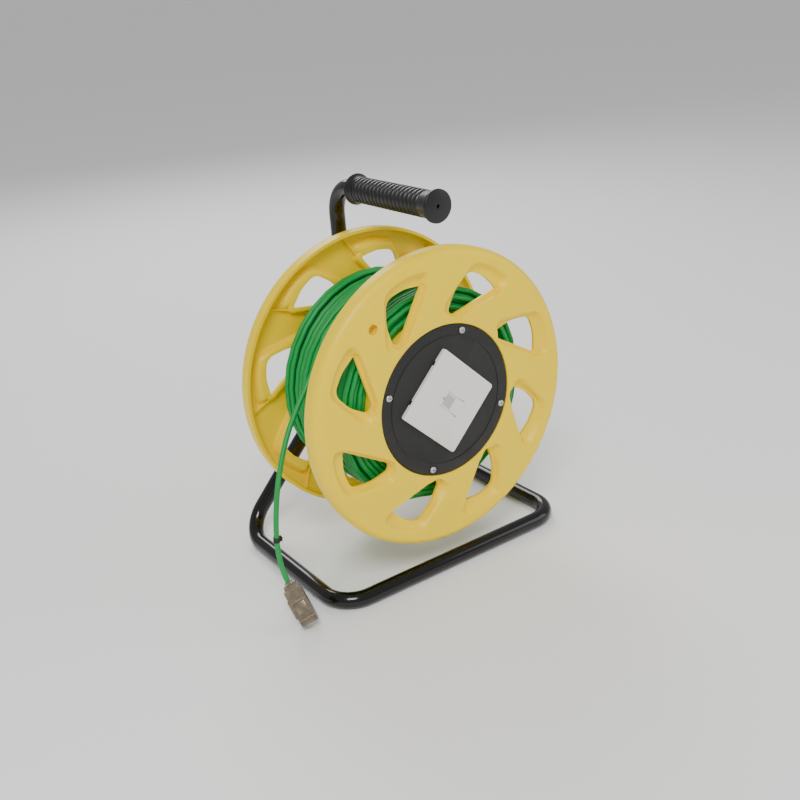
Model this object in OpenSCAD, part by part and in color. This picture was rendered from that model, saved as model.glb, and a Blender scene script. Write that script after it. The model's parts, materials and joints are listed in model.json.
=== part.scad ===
// Portable network cable reel. A moulded spool turns on a short axle in front of a
// bent-tube stand. The front of the spool carries a wall outlet for the wound cable.
// X runs to the right, Y to the back and Z up. The origin is on the floor, under the
// middle of the stand.

/* [Spool] */
// Diameter over the flange rims
flange_d = 290; // [280:1:296]
// Radius of the drum that the cable is wound on
barrel_r = 80; // [79:0.1:80]
// Distance between the crowns of the two flanges
crown_w = 140; // [138:0.5:141]
// Moulded wall thickness of the flanges
shell_t = 3; // [2.5:0.1:3.2]
// Depth of the rim, from the crown to the lip's end
rim_depth = 17; // [12:0.5:17]
// Depth of the pocket around each window
pocket_depth = 7; // [5:0.5:7]
// Angle of the first window's sharp corner on the front flange
front_phase = 8.5; // [0:0.5:45]
// Angle of the first window's sharp corner on the rear flange, seen from behind
rear_phase = 1.2; // [0:0.1:45]

/* [Stand] */
// Outside diameter of the steel tube
tube_d = 16; // [14:0.5:17]
// Wall thickness of the steel tube
tube_wall = 1.5; // [1:0.1:2]
// Height of the axle above the floor
axle_h = 177; // [172:1:185]
// Distance between the two side rails, centre to centre
base_w = 270; // [250:1:300]
// Distance from the front rail to the rear corners of the rails
base_depth = 189; // [185:1:200]
// Centreline radius of the tube bends
bend_r = 30; // [26:1:32]
// Height of the grip's axis above the floor
grip_h = 361; // [350:1:380]

/* [Grip] */
// Diameter over the ribs
grip_d = 25; // [23:0.5:26]
// Diameter of the collars at both ends
grip_collar_d = 30; // [28:0.5:34]
// Number of finger ribs
grip_ribs = 17; // [12:1:18]

/* [Outlet] */
// Side of the square cover plate
plate_w = 75; // [72:0.5:78]
// Height of the cover plate above the carrier disc
plate_t = 3.5; // [3:0.1:5]
// Turn of the outlet on the carrier disc
plate_turn = 46; // [0:1:90]

/* [Cable] */
// Outside diameter of the network cable
cable_d = 5; // [4.5:0.1:5.5]
// Outer radius of the wound cable
wound_r = 103; // [98:1:104]

/* [Hidden] */

$fn = 96;
gap = 0.2;
lap = 0.5;
skin = 0.03;
tube_r = tube_d / 2;
flange_r = flange_d / 2;
crown_z = crown_w / 2;
web_z = crown_z - shell_t;
pocket_z = crown_z - pocket_depth;
spool_y = -26.5;
front_y = -base_depth / 2;
rear_y = base_depth / 2 + 2.2;
rail_z = tube_r;
rail_x = base_w / 2;

// Carrier and bearing discs
disc_r = 73.8;
disc_t = 3.5;
disc_front = crown_z - 1;
disc_back = disc_front - disc_t;
shelf_z = disc_back - shell_t;
hub_open_r = 60;
disc_screw_r = 68;
disc_screw_a = 71.2;
tie_screw_r = 71.3;
tie_screw_a = 26.2;

// Axle and bearing, along the spool's own axis
axle_r = 8;
bush_r = 12;
bush_clear = 0.05;
sleeve_r = 15;
sleeve_back = -crown_z - 4;
sleeve_front = 0;
bush_flange = 2;
washer_t = 1.5;
spigot_r = 5;

// Handle, behind the spool and over it
handle_y = 69;
grip_back = 28.5;
grip_front = -101;

// Legs, whose flat lugs are clamped behind the handle tube
lug_t = 3.5;
lug_w = 24;
lug_y = handle_y + tube_r + lug_t;
leg_drop = 6;
leg_dx = rail_x;
leg_dy = lug_y - rear_y;
leg_dz = axle_h - leg_drop - rail_z;
leg_rise = atan2(leg_dz, leg_dx);
leg_run = norm([leg_dx, leg_dz]);
leg_full = norm([leg_run, leg_dy]);
leg_turn = 90 - atan2(leg_dy, leg_run);
leg_tangent = bend_r * tan(leg_turn / 2);
tube_stop = 42;

// Window and pocket outlines: [x, y, corner radius], with a sharp corner on the X axis
window_corners = [[115.8, -1, 1.5], [119.6, 18, 35], [116.6, 38, 11], [94, 43.2, 40],
                  [74, 40.6, 5.5], [73, 33.2, 4]];
pocket_corners = [[126.7, -8.9, 5], [129.5, 18.1, 60], [123.6, 40.2, 12], [68.7, 51.8, 6],
                  [80.3, 24.6, 10]];
windows = 8;
window_step = 360 / windows;
crank_r = 117;
crank_a = 121.3;
crank_bore_r = 4.75;

// Outlet: u runs down the plate, v across it
flap_w = 14.8;
flap_top = -8.2;
flap_bottom = 17;
flap_t = 1.8;
plate_front = disc_front + plate_t;
port_w = 11.8;
port_h = 8.4;
port_u = 2;
jack_back = 34;

// Free end of the cable: hand-set route in the stand's frame
tail_route = [[-81, -22, 246.2], [-95.5, -27, 225], [-111, -31.5, 207], [-125.5, -35.5, 191],
              [-139, -40, 174.5], [-150.5, -45.5, 157.5], [-160, -50.5, 139.5], [-168, -55.5, 120.5],
              [-173.5, -59.5, 102.5], [-177, -62.5, 84.5], [-178, -65, 66.5], [-177, -67.5, 52],
              [-175.7, -70, 44], [-175, -72, 40]];
// The inner end of the cable: through the drum wall and across to the outlet, in the spool's frame
lead_route = [[-76.8, -22, 20], [-66, -19, 19.5], [-52, -20, 16], [-44, -22.5, 14.5], [-32, -25, 14],
              [-18, -22, 14.5], [-6, -13, 17], [0.5, -4.5, 21.5], [1.8, -1.75, 28], [1.8, -1.75, 36]];
grommet_a = 196;
tail_jack_tilt = [-31, -11, 0];
tail_jack_yaw = -20;

// ---------- outlines ----------

function unit(v) = v / norm(v);

// Points of one rounded corner of an outline that turns to the left
function corner(a, b, c) =
    let(p = [b[0], b[1]], to_a = unit([a[0], a[1]] - p), to_c = unit([c[0], c[1]] - p),
        half = acos(max(-1, min(1, to_a * to_c))) / 2, r = b[2], cut = r / tan(half),
        centre = p + unit(to_a + to_c) * r / sin(half),
        s = p + to_a * cut - centre, e = p + to_c * cut - centre,
        a0 = atan2(s[1], s[0]), turn = (atan2(e[1], e[0]) - a0 + 540) % 360 - 180, n = 6)
    [for (i = [0:n]) centre + r * [cos(a0 + turn * i / n), sin(a0 + turn * i / n)]];

function rounded(corners) =
    let(n = len(corners))
    [for (i = [0:n - 1]) each corner(corners[(i + n - 1) % n], corners[i], corners[(i + 1) % n])];

// The same corners moved outwards by d, with larger radii
function grown(corners, d) =
    let(n = len(corners))
    [for (i = [0:n - 1])
        let(p = [corners[i][0], corners[i][1]],
            u = unit(p - [corners[(i + n - 1) % n][0], corners[(i + n - 1) % n][1]]),
            v = unit([corners[(i + 1) % n][0], corners[(i + 1) % n][1]] - p),
            m = unit([u[1] + v[1], -u[0] - v[0]]), reach = d / (m * [u[1], -u[0]]))
        [p[0] + m[0] * reach, p[1] + m[1] * reach, corners[i][2] + d]];

function arc(centre, r, a0, a1, n = 8) =
    [for (i = [0:n]) centre + r * [cos(a0 + (a1 - a0) * i / n), sin(a0 + (a1 - a0) * i / n)]];

function rect_corners(w, h, r) = [[w / 2, -h / 2, r], [w / 2, h / 2, r], [-w / 2, h / 2, r], [-w / 2, -h / 2, r]];

// ---------- swept round cords ----------

function spline(p, i, t) =
    let(a = p[max(i - 1, 0)], b = p[i], c = p[i + 1], d = p[min(i + 2, len(p) - 1)])
    0.5 * (2 * b + (c - a) * t + (2 * a - 5 * b + 4 * c - d) * t * t + (3 * b - a - 3 * c + d) * t * t * t);

function route(p, steps) =
    [for (i = [0:len(p) - 2], k = [0:steps - 1]) spline(p, i, k / steps), p[len(p) - 1]];

module cord(p, d, steps = 2, sides = 8) {
    line = route(p, steps);
    n = len(line);
    rings = [for (i = [0:n - 1])
        let(t = unit(line[min(i + 1, n - 1)] - line[max(i - 1, 0)]), u = unit(cross(t, [0, 1, 0])), v = cross(t, u))
        for (k = [0:sides - 1]) line[i] + d / 2 * (u * cos(360 * k / sides) + v * sin(360 * k / sides))];
    walls = [for (i = [0:n - 2], k = [0:sides - 1])
        [i * sides + k, (i + 1) * sides + k, (i + 1) * sides + (k + 1) % sides, i * sides + (k + 1) % sides]];
    polyhedron(rings, concat(walls, [[for (k = [0:sides - 1]) k], [for (k = [sides - 1:-1:0]) (n - 1) * sides + k]]));
}

// ---------- frames and small shapes ----------

// The spool's own frame: X right, Y up and Z towards the front, with the origin at its centre
module spool_frame() translate([0, spool_y, axle_h]) rotate([90, 0, 0]) children();

// The outlet's frame: X across the plate and Y up it, Z towards the front
module outlet_frame() spool_frame() rotate(plate_turn) children();

module around(count, radius, start) {
    for (k = [0:count - 1]) rotate(start + 360 * k / count) translate([radius, 0, 0]) children();
}

module ring(outer, inner, z0, z1) {
    translate([0, 0, z0]) linear_extrude(z1 - z0) difference() { circle(outer); circle(inner); }
}

module block(x0, x1, y0, y1, z0, z1) translate([x0, y0, z0]) cube([x1 - x0, y1 - y0, z1 - z0]);

module tube_section() {
    difference() {
        circle(tube_r);
        circle(tube_r - tube_wall);
    }
}

// A straight run whose ends lap into the bends, so its wall is a hair thinner than theirs
module tube_run(length) translate([0, 0, -lap]) linear_extrude(length + 2 * lap) difference() {
    circle(tube_r - skin);
    circle(tube_r - tube_wall + skin);
}

// A bend in the XY plane that starts at angle a0 and sweeps by turn
module tube_bend(a0, turn) rotate(a0) rotate_extrude(angle = turn) translate([bend_r, 0]) tube_section();

// Pan-head screw: head on top of z = 0, shank below, cross recess in the head
module pan_screw(head_r, head_h, shank_r, length) {
    difference() {
        union() {
            rotate_extrude() polygon(concat([[0, 0], [head_r, 0]],
                arc([head_r - head_h * 0.8, head_h * 0.1], head_h * 0.8, 0, 90, 5), [[0, head_h * 0.9]]));
            translate([0, 0, -length]) cylinder(r = shank_r, h = length + 0.1);
        }
        for (a = [0, 90]) rotate(a) translate([-head_r * 0.55, -0.4, head_h * 0.35]) cube([head_r * 1.1, 0.8, head_h]);
    }
}

// ---------- stand ----------

module base_half() {
    translate([-rail_x + bend_r, front_y + bend_r, rail_z]) tube_bend(180, 90);
    translate([-rail_x, front_y + bend_r, rail_z]) rotate([-90, 0, 0])
        tube_run(rear_y - leg_tangent - front_y - bend_r);
    translate([-rail_x, rear_y, rail_z]) rotate([0, -leg_rise, 0]) {
        translate([bend_r, -leg_tangent, 0]) tube_bend(180 - leg_turn, leg_turn);
        rotate(90 - leg_turn) translate([leg_tangent, 0, 0]) rotate([0, 90, 0])
            tube_run(leg_full - leg_tangent - tube_stop);
    }
}

// Flat lug at the end of a leg, welded into the slotted tube, with its back face at y
module leg_lug(y) {
    translate([0, y, axle_h]) rotate([90, 0, 0]) linear_extrude(lug_t) difference() {
        translate([0, -leg_drop]) rotate(leg_rise)
            polygon(concat([[-tube_stop - 12, lug_w / 2], [-tube_stop - 12, -lug_w / 2]],
                arc([0, 0], lug_w / 2, -90, 90, 16)));
        circle(spigot_r + gap);
    }
}

module base_tube() {
    color([0.05, 0.05, 0.05]) {
        translate([bend_r - rail_x, front_y, rail_z]) rotate([0, 90, 0]) tube_run(base_w - 2 * bend_r);
        base_half();
        mirror([1, 0, 0]) base_half();
        leg_lug(lug_y);
        mirror([1, 0, 0]) leg_lug(lug_y + lug_t);
    }
}

module handle_tube() {
    color([0.05, 0.05, 0.05]) difference() {
        union() {
            translate([0, handle_y, axle_h - 20]) tube_run(grip_h - bend_r - axle_h + 20);
            translate([0, handle_y - bend_r, grip_h - bend_r]) rotate([0, -90, 0]) mirror([1, 0, 0])
                tube_bend(90, 90);
            translate([0, handle_y - bend_r, grip_h]) rotate([90, 0, 0]) tube_run(handle_y - bend_r - grip_front - 6);
        }
        translate([0, handle_y + tube_d, axle_h]) rotate([90, 0, 0]) cylinder(r = spigot_r + gap, h = tube_d * 2);
    }
}

module handle_grip() {
    body_r = grip_d / 2;
    collar_r = grip_collar_d / 2;
    length = grip_back - grip_front;
    rib_start = 8;
    rib_end = length - 17;
    pitch = (rib_end - rib_start) / grip_ribs;
    ribs = [for (k = [0:grip_ribs - 1]) let(z = rib_start + k * pitch)
        each [[body_r - 1.3, z + pitch * 0.12], [body_r - 0.3, z + pitch * 0.25], [body_r, z + pitch * 0.45],
              [body_r, z + pitch * 0.65], [body_r - 0.3, z + pitch * 0.85], [body_r - 1.3, z + pitch * 0.98]]];
    color([0.08, 0.08, 0.08]) translate([0, grip_back, grip_h]) rotate([90, 0, 0]) rotate_extrude()
        polygon(concat(
            [[tube_r + gap / 4, 0], [collar_r - 0.6, 0], [collar_r, 0.6], [collar_r, 2.2], [body_r + 1, 4.5],
             [body_r - 0.6, rib_start]],
            ribs,
            [[body_r - 0.6, rib_end + 1], [body_r - 0.2, length - 8], [collar_r - 0.8, length - 3.2],
             [collar_r, length - 2.4], [collar_r, length - 0.6], [collar_r - 0.6, length], [1.5, length],
             [1.5, length - 4], [tube_r + gap / 4, length - 4]]));
}

// ---------- axle ----------

module axle() {
    back = sleeve_back - bush_flange - gap - washer_t;
    front = sleeve_front + bush_flange + gap + washer_t;
    color([0.75, 0.75, 0.77]) spool_frame() difference() {
        union() {
            translate([0, 0, back]) cylinder(r = axle_r, h = front - back + 4);
            translate([0, 0, -lug_y - lug_t - 15 + spool_y]) cylinder(r = spigot_r, h = lug_y + lug_t + 15 - spool_y + back);
        }
        ring(axle_r + 1, axle_r - 0.8, front + gap / 2, front + 1.5);
    }
}

module axle_saddle() {
    front = spool_y - (sleeve_back - bush_flange - gap - washer_t);
    color([0.1, 0.1, 0.1]) difference() {
        translate([0, handle_y - 3, axle_h]) rotate([90, 0, 0]) ring(14, spigot_r + gap, 0, handle_y - 3 - front);
        translate([0, handle_y, axle_h - 20]) cylinder(r = tube_r + 0.1, h = 40);
    }
}

module flat_washer(r, inner, z0, z1, tint) color(tint) spool_frame() ring(r, inner, z0, z1);

module axle_thrust_washer() {
    z = sleeve_back - bush_flange - gap;
    flat_washer(13, axle_r + 0.1, z - washer_t, z, [0.75, 0.75, 0.77]);
}

module axle_end_washer() {
    z = sleeve_front + bush_flange + gap;
    flat_washer(13, axle_r + 0.1, z, z + washer_t, [0.75, 0.75, 0.77]);
}

module axle_circlip() {
    z = sleeve_front + bush_flange + gap + washer_t + gap;
    color([0.3, 0.3, 0.32]) spool_frame() difference() {
        ring(axle_r + 2.4, axle_r - 0.6, z, z + 1);
        rotate(-60) translate([0, 0, z - 1]) linear_extrude(3) polygon([[0, 0], [30, 0], [30, 18]]);
    }
}

module axle_rear_washer() {
    y = lug_y + lug_t;
    color([0.75, 0.75, 0.77]) translate([0, y + 2, axle_h]) rotate([90, 0, 0]) ring(10.5, spigot_r + 0.1, 0, 2);
}

module axle_nut() {
    y = lug_y + lug_t + 2;
    color([0.75, 0.75, 0.77]) translate([0, y + 9, axle_h]) rotate([90, 0, 0]) difference() {
        intersection() {
            cylinder(r = 17 / sqrt(3), h = 9, $fn = 6);
            rotate_extrude() polygon([[0, 0], [8, 0], [9.9, 1.1], [9.9, 9], [0, 9]]);
        }
        translate([0, 0, -1]) cylinder(r = spigot_r, h = 11);
    }
}

// ---------- spool ----------

// The moulding that is used for both flanges, with a window's sharp corner on the X axis
module flange() {
    rim_round = 8;
    lip_z = crown_z - rim_depth;
    rim_c = flange_r - rim_round;
    hub_r = barrel_r - shell_t - 0.1;
    profile = concat([[hub_open_r, shelf_z], [hub_r, shelf_z], [hub_r, web_z]],
        arc([flange_r - 9.5, crown_z - rim_round], 5, 90, 0), [[flange_r - 4.5, lip_z], [flange_r - 0.8, lip_z],
        [flange_r, lip_z + 0.8]], arc([rim_c, crown_z - rim_round], rim_round, 0, 90),
        [[disc_r + 0.5, crown_z], [disc_r + 0.5, disc_back], [hub_open_r, disc_back]]);
    difference() {
        union() {
            rotate_extrude() polygon(profile);
            for (k = [0:windows - 1]) rotate(k * window_step) {
                translate([0, 0, pocket_z - shell_t]) linear_extrude(web_z + 1 - pocket_z + shell_t)
                    polygon(rounded(grown(pocket_corners, shell_t)));
                rotate(37) spoke_rib();
            }
            rotate(crank_a) translate([crank_r, 0, crown_z - 11]) cylinder(r = 7.2, h = 10);
            around(4, disc_screw_r, disc_screw_a - front_phase) translate([0, 0, shelf_z - 9]) cylinder(r = 3.5, h = 9.5);
        }
        for (k = [0:windows - 1]) rotate(k * window_step) {
            translate([0, 0, pocket_z]) linear_extrude(20) polygon(rounded(pocket_corners));
            translate([0, 0, pocket_z - 10]) linear_extrude(20) polygon(rounded(window_corners));
        }
        rotate(crank_a) translate([crank_r, 0, crown_z - 8]) cylinder(r = crank_bore_r, h = 20);
        around(4, disc_screw_r, disc_screw_a - front_phase) translate([0, 0, shelf_z - 10]) cylinder(r = 1.3, h = 20);
        around(4, tie_screw_r, tie_screw_a - front_phase) translate([0, 0, shelf_z - 5]) cylinder(r = 1.7, h = 10);
        around(4, tie_screw_r, tie_screw_a - front_phase) translate([0, 0, disc_back - 1.6]) cylinder(r = 3.5, h = 4);
    }
}

// A thin curved rib on the inner side, from the rim lip to the foot of the drum
module spoke_rib() {
    bow = 150;
    start = flange_r - 5;
    finish = barrel_r + 0.4;
    end_p = finish * [cos(15), sin(15)];
    mid = ([start, 0] + end_p) / 2;
    along = end_p - [start, 0];
    side = unit([-along[1], along[0]]);
    centre = mid + side * sqrt(bow * bow - pow(norm(along) / 2, 2));
    from = [start, 0] - centre;
    to = end_p - centre;
    a0 = atan2(from[1], from[0]);
    a1 = atan2(to[1], to[0]);
    translate([0, 0, pocket_z - 1]) linear_extrude(web_z - pocket_z + 1.5)
        polygon(concat(arc(centre, bow - 0.8, a0, a1), arc(centre, bow + 0.8, a1, a0)));
}

module front_flange() color([0.96, 0.83, 0.02]) spool_frame() rotate(front_phase) flange();

module rear_flange() color([0.96, 0.83, 0.02]) spool_frame() rotate([0, 180, 0]) rotate(rear_phase) flange();

module drum_barrel() {
    inner_r = barrel_r - shell_t;
    post = 18;
    color([0.93, 0.78, 0.02]) spool_frame() difference() {
        union() {
            ring(barrel_r, inner_r, -web_z, web_z);
            for (end = [0, 1]) rotate([0, end * 180, 0])
                around(4, tie_screw_r, end == 0 ? tie_screw_a : tie_screw_a - front_phase + rear_phase)
                    translate([0, 0, shelf_z - gap - post]) difference() {
                        union() { cylinder(r = 4.5, h = post); block(0, inner_r + 0.5 - tie_screw_r, -2, 2, 0, post); }
                        translate([0, 0, 3]) cylinder(r = 1.4, h = post);
                    }
        }
        rotate(grommet_a) translate([inner_r - 5, 0, 20]) rotate([0, 90, 0]) cylinder(r = 5, h = 12);
    }
}

module front_flange_screws() color([0.75, 0.75, 0.77]) spool_frame()
    around(4, tie_screw_r, tie_screw_a) translate([0, 0, disc_back]) tie_screw();

module rear_flange_screws() color([0.75, 0.75, 0.77]) spool_frame() rotate([0, 180, 0])
    around(4, tie_screw_r, tie_screw_a - front_phase + rear_phase) translate([0, 0, disc_back]) tie_screw();

// Sunk in the shelf, so that the disc lies flat over its head
module tie_screw() {
    difference() {
        union() {
            translate([0, 0, -1.6]) cylinder(r = 3.2, h = 1.5);
            translate([0, 0, -16]) cylinder(r = 1.4, h = 15);
        }
        for (a = [0, 90]) rotate(a) translate([-1.8, -0.4, -0.9]) cube([3.6, 0.8, 2]);
    }
}

// ---------- bearing ----------

module bearing_disc() {
    color([0.12, 0.12, 0.12]) spool_frame() rotate([0, 180, 0]) difference() {
        union() {
            translate([0, 0, disc_back]) cylinder(r = disc_r, h = disc_t);
            translate([0, 0, -sleeve_front]) cylinder(r = sleeve_r, h = -sleeve_back);
            for (k = [0:5]) rotate(k * 60 + 10) translate([sleeve_r - 0.5, 1.25, 0]) rotate([90, 0, 0])
                linear_extrude(2.5) polygon([[0, disc_back - 36], [0, disc_back + 0.5], [38, disc_back + 0.5], [38, disc_back - 4]]);
        }
        translate([0, 0, -1]) cylinder(r = bush_r, h = -sleeve_back + 2);
        around(4, disc_screw_r, disc_screw_a - front_phase + rear_phase) translate([0, 0, disc_back - 1]) cylinder(r = 1.8, h = disc_t + 2);
    }
}

module disc_screw() pan_screw(3.4, 2.2, 1.3, 12);

module bearing_disc_screws() color([0.75, 0.75, 0.77]) spool_frame() rotate([0, 180, 0])
    around(4, disc_screw_r, disc_screw_a - front_phase + rear_phase) translate([0, 0, disc_front]) disc_screw();

module bush(length) {
    ring(bush_r, axle_r + bush_clear, 0, length);
    ring(bush_r + 1.8, axle_r + bush_clear, length, length + bush_flange);
}

module rear_bush() color([0.9, 0.9, 0.86]) spool_frame() translate([0, 0, sleeve_back + 14]) rotate([0, 180, 0]) bush(14);

module front_bush() color([0.9, 0.9, 0.86]) spool_frame() translate([0, 0, sleeve_front - 14]) bush(14);

// ---------- outlet ----------

module carrier_disc() {
    opening = 58;
    color([0.12, 0.12, 0.12]) spool_frame() difference() {
        union() {
            translate([0, 0, disc_back]) rotate_extrude() polygon([[0, 0], [disc_r, 0], [disc_r, disc_t - 0.6],
                [disc_r - 0.6, disc_t], [0, disc_t]]);
            ring(63.2, 62, disc_front - 0.1, disc_front + 0.5);
        }
        rotate(plate_turn) translate([0, 0, disc_back - 1]) linear_extrude(disc_t + 2)
            polygon(rounded(rect_corners(opening, opening, 4)));
        around(4, disc_screw_r, disc_screw_a) translate([0, 0, disc_back - 1]) cylinder(r = 1.8, h = disc_t + 2);
        around(2, 33, plate_turn + 180) translate([0, 0, disc_back - 1]) cylinder(r = 1.1, h = disc_t + 2);
    }
}

module carrier_screws() color([0.8, 0.8, 0.8]) spool_frame()
    around(4, disc_screw_r, disc_screw_a) translate([0, 0, disc_front]) disc_screw();

module outlet_support() {
    t = 1.2;
    color([0.7, 0.7, 0.68]) outlet_frame() difference() {
        translate([0, 0, disc_front]) linear_extrude(t) polygon(rounded(rect_corners(71, 71, 2)));
        translate([0, -port_u - 2, disc_front - 1]) linear_extrude(t + 2) polygon(rounded(rect_corners(19, 32, 1)));
        around(2, 33, 0) translate([0, 0, disc_front - 1]) cylinder(r = 1.5, h = t + 2);
    }
    // Arms that hold the socket module by its sides
    color([0.7, 0.7, 0.68]) outlet_frame() for (side = [0, 1]) mirror([side, 0, 0])
        translate([0, 6 - port_u, 0]) rotate([90, 0, 0]) linear_extrude(12)
            polygon([[8.3, disc_front - 15], [9.8, disc_front - 15], [9.8, disc_front - 1.4], [12, disc_front - 1.4],
                [12, disc_front + 0.5], [10.4, disc_front + 0.5], [10.4, disc_front - 0.3], [8.3, disc_front - 0.3]]);
}

module outlet_screws() color([0.8, 0.8, 0.8]) outlet_frame()
    around(2, 33, 0) translate([0, 0, disc_front + 1.2]) pan_screw(1.9, 0.7, 1.1, 5);

// White cover: a shallow tray with a recess for the flap and the port in the recess floor
module outlet_cover() {
    half = plate_w / 2;
    wall = 1.4;
    bevel = 1.6;
    floor_z = plate_front - flap_t - gap;
    color([0.94, 0.91, 0.87]) outlet_frame() difference() {
        union() {
            difference() {
                intersection() {
                    translate([0, 0, disc_front]) linear_extrude(plate_t) polygon(rounded(rect_corners(plate_w, plate_w, 2)));
                    for (a = [0, 90]) rotate(a) rotate([90, 0, 0]) translate([0, 0, -half]) linear_extrude(plate_w)
                        polygon([[-half, disc_front], [half, disc_front], [half, plate_front - bevel],
                            [half - bevel, plate_front], [bevel - half, plate_front], [-half, plate_front - bevel]]);
                }
                translate([0, 0, disc_front - 1]) linear_extrude(plate_t + 1 - wall)
                    polygon(rounded(rect_corners(plate_w - 2 * wall, plate_w - 2 * wall, 1)));
            }
            block(-flap_w / 2 - 2, flap_w / 2 + 2, -flap_bottom - 2.2, -flap_top + 2.6, disc_front + 0.1, plate_front - 1);
        }
        block(-flap_w / 2 - 0.3, flap_w / 2 + 0.3, -flap_bottom - 0.3, -flap_top + 1.3, floor_z, plate_front + 1);
        block(-flap_w / 2 - 1.2, flap_w / 2 + 1.2, -flap_bottom - 0.3, -flap_bottom + 7, floor_z, plate_front + 1);
        block(-port_w / 2, port_w / 2, -port_u - port_h / 2, -port_u + port_h / 2, disc_front - 1, plate_front + 1);
        translate([-flap_w / 2 - 1.6, -flap_top, plate_front - 0.9]) rotate([0, 90, 0]) cylinder(r = 0.6, h = flap_w + 3.2, $fn = 24);
        for (side = [-21, 21]) block(side - 2.2, side + 2.2, half - 1.6, half + 1, disc_front - 1, disc_front + 1.6);
    }
}

// Hinged cover over the port, with a thumb lip at its lower end
module dust_flap() {
    back = plate_front - flap_t;
    half = flap_w / 2;
    color([0.92, 0.9, 0.86]) outlet_frame() difference() {
        union() {
            block(-half, half, -flap_bottom, -flap_top, back, plate_front);
            translate([-half, -flap_top, plate_front - 0.9]) rotate([0, 90, 0]) cylinder(r = 0.9, h = flap_w, $fn = 32);
            translate([-half, 0, 0]) rotate([90, 0, 90]) linear_extrude(flap_w)
                polygon([[-flap_bottom, plate_front - 0.5], [-flap_bottom, plate_front + 0.7], [-flap_bottom + 1.4, plate_front + 0.9],
                    [-flap_bottom + 7, plate_front - 0.1]]);
        }
        block(-5.85, 5.85, -5, 6.7, plate_front - 0.8, plate_front + 1);
        translate([-half - 1, -flap_top, plate_front - 0.9]) rotate([0, 90, 0]) cylinder(r = 0.6 + bush_clear, h = flap_w + 2, $fn = 24);
        block(-1.6, 1.6, -flap_top - 1.3, -flap_top + 1, back - 1, plate_front + 1);
    }
}

module flap_window() color([0.85, 0.9, 0.92, 0.5]) outlet_frame()
    block(-5.75, 5.75, -4.9, 6.6, plate_front - 0.8, plate_front - 0.1);

module flap_pin() color([0.75, 0.75, 0.77]) outlet_frame()
    translate([-flap_w / 2 - 1.6, -flap_top, plate_front - 0.9]) rotate([0, 90, 0]) cylinder(r = 0.6, h = flap_w + 3.2, $fn = 24);

module flap_spring() {
    color([0.7, 0.7, 0.72]) outlet_frame() translate([0, -flap_top, plate_front - 0.9]) rotate([0, 90, 0])
        rotate_extrude() for (k = [-3:3]) translate([0.8, k * 0.34]) circle(r = 0.17, $fn = 16);
}

// Socket module: port towards -Z of its own frame, with its latch side at +Y
module jack_shell(length) {
    difference() {
        union() {
            block(-8.2, 8.2, -7.2, 8.8, 0, length);
            block(-7.2, 7.2, 8.6, 10.6, 4, length - 8);
            block(-5, 5, -9.2, -7, 12, length - 6);
        }
        block(-port_w / 2, port_w / 2, -port_h / 2, port_h / 2, -1, 15);
        block(-3.2, 3.2, -port_h / 2 - 1.6, -port_h / 2 + 1, -1, 13);
        for (side = [-1, 1]) translate([side * 8.2, 0, length - 14]) rotate([90, 0, 0])
            translate([0, 0, -5]) cylinder(r = 0.9, h = 10, $fn = 20);
    }
}

module jack_contacts() {
    for (k = [-3.5:3.5]) translate([k * 1.02 - 0.2, 3.7, 2]) rotate([5, 0, 0]) cube([0.4, 0.4, 10]);
}

module jack_cap(height) {
    difference() {
        union() {
            block(-8.2, 8.2, -7.2, 8.8, 0, height - 4);
            block(-6.2, 6.2, -5.5, 6.6, height - 4.1, height);
        }
        translate([0, 0.5, -1]) cylinder(r = cable_d / 2 + 0.1, h = height + 2);
        block(-6, 6, -4.5, 5.5, -1, height - 6);
    }
}

module outlet_jack() color([0.62, 0.6, 0.56]) outlet_frame()
    translate([0, -port_u, disc_front - gap]) rotate([180, 0, 0]) jack_shell(26);

module outlet_jack_contacts() color([0.85, 0.68, 0.3]) outlet_frame()
    translate([0, -port_u, disc_front - gap]) rotate([180, 0, 0]) jack_contacts();

module outlet_jack_cap() color([0.62, 0.6, 0.56]) outlet_frame()
    translate([0, -port_u, disc_front - gap - 26]) rotate([180, 0, 0]) jack_cap(10);

// ---------- cable and its fixings inside the drum ----------

module cable_grommet() {
    inner_r = barrel_r - shell_t;
    color([0.1, 0.1, 0.1]) spool_frame() rotate(grommet_a) translate([inner_r, 0, 20]) rotate([0, 90, 0])
        rotate_extrude() polygon([[cable_d / 2 + 0.1, -1.5], [6.5, -1.5], [6.5, 0], [5, 0], [5, shell_t], [cable_d / 2 + 0.1, shell_t]]);
}

module inner_lead() color([0.1, 0.55, 0.3]) spool_frame() cord(lead_route, cable_d - 0.1, 2, 10);

module wound_cable() color([0.12, 0.62, 0.33]) spool_frame()
    rotate_extrude() polygon([[barrel_r + gap, -55], [wound_r - 4, -55], [wound_r, -51], [wound_r, 51], [wound_r - 4, 55], [barrel_r + gap, 55]]);

// ---------- free end of the cable ----------

module cable_tail() color([0.12, 0.62, 0.33]) cord(tail_route, cable_d, 3, 10);

module cable_band() {
    at = tail_route[9];
    color([0.06, 0.06, 0.06]) translate(at) rotate([9, 2.5, 0]) {
        ring(cable_d / 2 + 0.7, cable_d / 2 + 0.05, -2.4, 2.4);
        block(cable_d / 2 + 0.4, cable_d / 2 + 2.6, -2, 2, -2, 2);
    }
}

module tail_jack_frame() translate(tail_route[len(tail_route) - 1]) rotate(tail_jack_tilt)
    rotate(tail_jack_yaw) rotate([180, 0, 0]) children();

module tail_jack() color([0.62, 0.6, 0.56]) tail_jack_frame() translate([0, 0, 39]) rotate([180, 0, 0]) jack_shell(28);

module tail_jack_contacts() color([0.85, 0.68, 0.3]) tail_jack_frame() translate([0, 0, 39]) rotate([180, 0, 0]) jack_contacts();

module tail_jack_cap() color([0.62, 0.6, 0.56]) tail_jack_frame() translate([0, 0, 11]) rotate([180, 0, 0]) jack_cap(11);

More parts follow.
